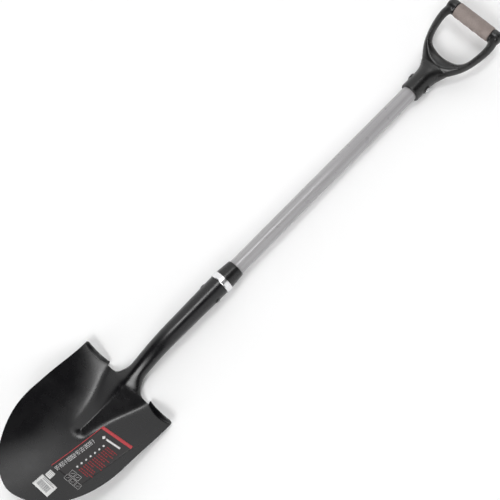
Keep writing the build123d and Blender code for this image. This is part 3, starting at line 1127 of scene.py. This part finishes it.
def make_camera():
    """A camera that looks at the shaft from its front, then rolls about its line of sight."""
    az, tilt, roll = (math.radians(v) for v in (CAMERA_AZIMUTH, CAMERA_TILT, CAMERA_ROLL))
    towards = (ACROSS * math.sin(az) * math.cos(tilt) - ALONG * math.sin(tilt)
               + FRONT * math.cos(az) * math.cos(tilt))
    right = (-towards).cross(ALONG).normalized()
    up = right.cross(-towards)
    turned_right = right * math.cos(roll) + up * math.sin(roll)
    turned_up = up * math.cos(roll) - right * math.sin(roll)
    camera = bpy.data.objects.new("camera", bpy.data.cameras.new("camera"))
    camera.data.lens = CAMERA_LENS
    camera.data.clip_end = 20
    matrix = Matrix((turned_right, turned_up, towards)).transposed().to_4x4()
    matrix.translation = place(*CAMERA_TARGET) + towards * (CAMERA_DISTANCE * MM)
    camera.matrix_world = matrix
    bpy.context.scene.collection.objects.link(camera)
    bpy.context.scene.camera = camera


def make_floor():
    """A plain pale floor under the shovel."""
    size = FLOOR_HALF_SIZE
    corners = [(-size, -size), (size, -size), (size, size), (-size, size)]
    mesh = bpy.data.meshes.new("floor")
    mesh.from_pydata([(x, y, FLOOR_Z) for x, y in corners], [], [(0, 1, 2, 3)])
    floor = bpy.data.objects.new("floor", mesh)
    bpy.context.scene.collection.objects.link(floor)
    n = Nodes("pale_floor")
    n.set(Roughness=0.9, Specular_IOR_Level=0.1)
    n.link(n.ramp(n.noise(3, 2), [(0.3, 0.935), (0.7, 0.95)]), "Base Color")
    mesh.materials.append(n.material)


class Tent:
    """Builds the world's brightness from two angles of a direction, in degrees: across, from
    overhead towards +X, and along, from level towards +Y."""

    def __init__(self, tree):
        self.tree = tree
        self.direction = tree.nodes.new("ShaderNodeTexCoord").outputs["Generated"]
        split = tree.nodes.new("ShaderNodeSeparateXYZ")
        tree.links.new(self.direction, split.inputs[0])
        x, y, z = split.outputs
        self.across = self.math("MULTIPLY", self.math("ARCTAN2", x, z), 180 / math.pi)
        self.along = self.math("MULTIPLY", self.math("ARCSINE", y), 180 / math.pi)

    def math(self, kind, *values):
        node = self.tree.nodes.new("ShaderNodeMath")
        node.operation = kind
        for socket, value in zip(node.inputs, values):
            if isinstance(value, bpy.types.NodeSocket):
                self.tree.links.new(value, socket)
            else:
                socket.default_value = value
        return node.outputs[0]

    def fade(self, value, start, end):
        """0 at start and 1 at end, whichever of them is higher."""
        node = self.tree.nodes.new("ShaderNodeMapRange")
        node.interpolation_type = "SMOOTHSTEP"
        self.tree.links.new(value, node.inputs["Value"])
        node.inputs["From Min"].default_value = start
        node.inputs["From Max"].default_value = end
        return node.outputs["Result"]

    def window(self, value, low, high, soft):
        """1 between low and high, 0 outside them."""
        rise = self.fade(value, low - soft, low + soft)
        fall = self.fade(value, high - soft, high + soft)
        return self.math("SUBTRACT", rise, fall)

    def scaled(self, value, factor):
        return self.math("MULTIPLY", value, factor)

    def left_over(self, value, share):
        return self.math("SUBTRACT", 1.0, self.scaled(value, share))

    def near(self, direction, start, end):
        """A round lamp: 1 close to the direction."""
        node = self.tree.nodes.new("ShaderNodeVectorMath")
        node.operation = "DOT_PRODUCT"
        node.inputs[1].default_value = Vector(direction).normalized()
        self.tree.links.new(self.direction, node.inputs[0])
        return self.fade(node.outputs["Value"], start, end)


def tent_cloth(t):
    """The white cloth with its dark gaps, which the black paint mirrors."""
    slot_high = t.scaled(t.window(t.across, 9, 56, 6), t.fade(t.along, 13, 19))
    slot_mid = t.scaled(t.window(t.across, 11, 42, 6), t.window(t.along, -2, 16, 3))
    low_band = t.scaled(t.window(t.across, -62, 80, 8), t.fade(t.along, 0, -8))
    front_end = t.fade(t.along, -36, -46)
    gap = t.math("MAXIMUM", t.math("MAXIMUM", slot_high, slot_mid),
                 t.math("MAXIMUM", low_band, front_end))
    shade = t.scaled(t.window(t.across, -22, 9, 6), t.window(t.along, 20, 34, 4))
    return t.scaled(t.left_over(gap, 0.97), t.left_over(shade, 0.92))


def make_world():
    """A light tent: white cloth with dark gaps, and soft lights overhead, beyond the D, and
    beyond the blade's point, one high and one low."""
    world = bpy.data.worlds.new("tent")
    bpy.context.scene.world = world
    world.use_nodes = True
    t = Tent(world.node_tree)
    strip = t.scaled(t.window(t.across, -11, 1, 4), t.window(t.along, -1, 19, 4))
    glow = t.scaled(t.window(t.across, -28, -2, 6), t.window(t.along, 38, 70, 6))
    front = t.scaled(t.window(t.across, 0, 48, 5), t.window(t.along, -52, -33, 4))
    low_lamp = t.near((-0.02, -0.96, 0.22), 0.94, 0.99)
    value = tent_cloth(t)
    for light, strength in ((strip, 9.0), (glow, 1.1), (front, 8.0), (low_lamp, 5.0)):
        value = t.math("ADD", value, t.scaled(light, strength))
    background = world.node_tree.nodes["Background"]
    background.inputs["Color"].default_value = (1, 1, 1, 1)
    world.node_tree.links.new(t.scaled(value, TENT_STRENGTH), background.inputs["Strength"])


bpy.context.scene.view_settings.view_transform = "Standard"
make_camera()
make_floor()
make_world()

blade_piece()
shaft_piece()
sleeve_piece()
ring_band()
socket_rivet_piece()
handle_rivet_piece()
washers_piece()
handle_piece()
grip_piece()
label_pieces()
sticker_pieces()
for name in ("lower_core", "upper_core"):
    core = frame["nodes"][name]
    if not core.material_slots:
        core.data.materials.append(WOOD)
    for core_slot in core.material_slots:
        core_slot.material = WOOD
